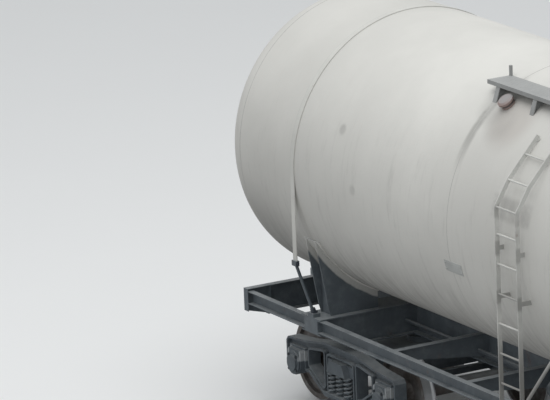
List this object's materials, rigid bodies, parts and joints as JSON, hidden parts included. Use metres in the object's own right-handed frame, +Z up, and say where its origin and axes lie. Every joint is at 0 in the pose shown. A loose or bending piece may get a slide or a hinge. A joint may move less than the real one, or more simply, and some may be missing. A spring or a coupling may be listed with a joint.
{
  "type": "railway tank car",
  "caption": "Four-axle railway tank car: white cylindrical tank held by straps on a platform frame, side ladders to walkways round a manway, automatic couplers and two cast bogies.",
  "frame": {"origin": "centre of the box round the whole car, at the bottom of the wheel flanges", "axes": "+X along the car towards the end nearest the picture's camera, +Y across the car away from the side that the picture shows, +Z up"},
  "size_m": [12.1658, 3.4, 4.8661],
  "materials": {
    "tank_paint": "weathered warm white paint",
    "strap_paint": "dirty grey-white paint",
    "ladder_paint": "dirty white paint with rust at the joints",
    "frame_paint": "dusty blue-black paint",
    "cast_parts": "dusty dark cast steel",
    "brake_paint": "dusty black paint",
    "shoe_iron": "rust-brown iron",
    "spring_steel": "dusty black",
    "axle_steel": "dull brown-grey steel",
    "wheel_steel": "dusty dark steel with a bright tread",
    "valve_paint": "dark rust red"
  },
  "bodies": {
    "carbody": {"tank_barrel": "tank_paint", "tank_heads": "tank_paint", "manway_neck": "tank_paint", "tank_straps": "strap_paint", "strap_rods": "frame_paint", "saddle_pads": "tank_paint", "saddles": "frame_paint", "tank_feet": "frame_paint", "centre_sill": "frame_paint", "end_beams": "frame_paint", "body_bolsters": "frame_paint", "side_beams": "frame_paint", "cross_beams": "frame_paint", "strikers": "cast_parts", "couplers": "cast_parts", "uncoupling_levers": "frame_paint", "brake_pipe": "brake_paint", "brake_cylinder": "brake_paint", "air_reservoir": "brake_paint", "air_distributor": "brake_paint", "brake_rods": "brake_paint", "ladder_rails": "ladder_paint", "ladder_rungs": "ladder_paint", "ladder_stays": "ladder_paint", "walkways": "ladder_paint", "walkway_brackets": "tank_paint", "relief_valve": "valve_paint", "bottom_outlet": "frame_paint", "centre_plates": "cast_parts", "side_bearings": "cast_parts"},
    "lid": {"manway_lid": "tank_paint"},
    "bogie_1": {"side_frames_1": "cast_parts", "bogie_bolster_1": "cast_parts", "friction_wedges_1": "cast_parts", "spring_groups_1": "spring_steel", "axle_boxes_1": "cast_parts", "brake_beams_1": "brake_paint", "brake_shoes_1": "shoe_iron"},
    "bogie_2": {"side_frames_2": "cast_parts", "bogie_bolster_2": "cast_parts", "friction_wedges_2": "cast_parts", "spring_groups_2": "spring_steel", "axle_boxes_2": "cast_parts", "brake_beams_2": "brake_paint", "brake_shoes_2": "shoe_iron"},
    "wheelset_1": {"axle_1": "axle_steel", "wheels_1": "wheel_steel"},
    "wheelset_2": {"axle_2": "axle_steel", "wheels_2": "wheel_steel"},
    "wheelset_3": {"axle_3": "axle_steel", "wheels_3": "wheel_steel"},
    "wheelset_4": {"axle_4": "axle_steel", "wheels_4": "wheel_steel"}
  },
  "joints": [
    {"name": "lid_hinge", "type": "hinge", "parent": "carbody", "child": "lid", "pos_m": [0, 0.395, 4.809], "axis": [1, 0, 0], "range_deg": [-110, 0]},
    {"name": "swivel_1", "type": "hinge", "parent": "carbody", "child": "bogie_1", "pos_m": [-3.9, 0, 0.834], "axis": [0, 0, 1], "range_deg": [-4, 4]},
    {"name": "swivel_2", "type": "hinge", "parent": "carbody", "child": "bogie_2", "pos_m": [3.9, 0, 0.834], "axis": [0, 0, 1], "range_deg": [-4, 4]},
    {"name": "wheelset_spin_1", "type": "hinge", "parent": "bogie_1", "child": "wheelset_1", "pos_m": [-4.825, 0, 0.5065], "axis": [0, 1, 0], "continuous": true},
    {"name": "wheelset_spin_2", "type": "hinge", "parent": "bogie_1", "child": "wheelset_2", "pos_m": [-2.975, 0, 0.5065], "axis": [0, 1, 0], "continuous": true},
    {"name": "wheelset_spin_3", "type": "hinge", "parent": "bogie_2", "child": "wheelset_3", "pos_m": [2.975, 0, 0.5065], "axis": [0, 1, 0], "continuous": true},
    {"name": "wheelset_spin_4", "type": "hinge", "parent": "bogie_2", "child": "wheelset_4", "pos_m": [4.825, 0, 0.5065], "axis": [0, 1, 0], "continuous": true}
  ]
}
